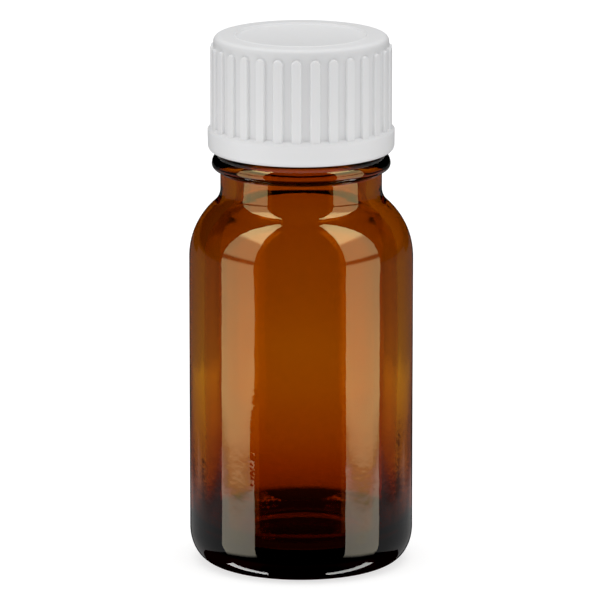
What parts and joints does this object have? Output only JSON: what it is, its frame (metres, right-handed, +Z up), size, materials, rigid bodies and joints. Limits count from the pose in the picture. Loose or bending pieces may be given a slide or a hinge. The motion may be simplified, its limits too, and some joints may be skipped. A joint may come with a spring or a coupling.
{
  "type": "glass medicine bottle",
  "caption": "Small amber glass medicine bottle with a short threaded neck, a dropper insert and a white ribbed screw cap.",
  "frame": {"origin": "centre of the plane that the bottle stands on, on the bottle's axis", "axes": "+Z up along the bottle's axis towards the cap, -Y towards the viewer of the front, +X to the viewer's right"},
  "size_m": [0.025, 0.025, 0.0598],
  "materials": {
    "amber_glass": "clear amber, smooth and glossy",
    "white_plastic": "moulded white, satin",
    "natural_plastic": "milky, unpigmented, soft satin",
    "liner_foam": "soft closed-cell foam, matte"
  },
  "bodies": {
    "bottle": {"glass_bottle": "amber_glass", "dropper_insert": "natural_plastic"},
    "liner": {"cap_liner": "liner_foam"},
    "cap": {"screw_cap": "white_plastic"}
  },
  "joints": [
    {"name": "cap_rise", "type": "slide", "parent": "bottle", "child": "liner", "axis": [0, 0, 1], "range_m": [0, 0.01201]},
    {"name": "cap_turn", "type": "hinge", "parent": "liner", "child": "cap", "pos_m": [0, 0, 0.04675], "axis": [0, 0, 1], "range_deg": [0, 1440]}
  ],
  "couplings": [
    {"joint": "cap_rise", "follows": "cap_turn", "m_per_rad": 0.00047746}
  ]
}
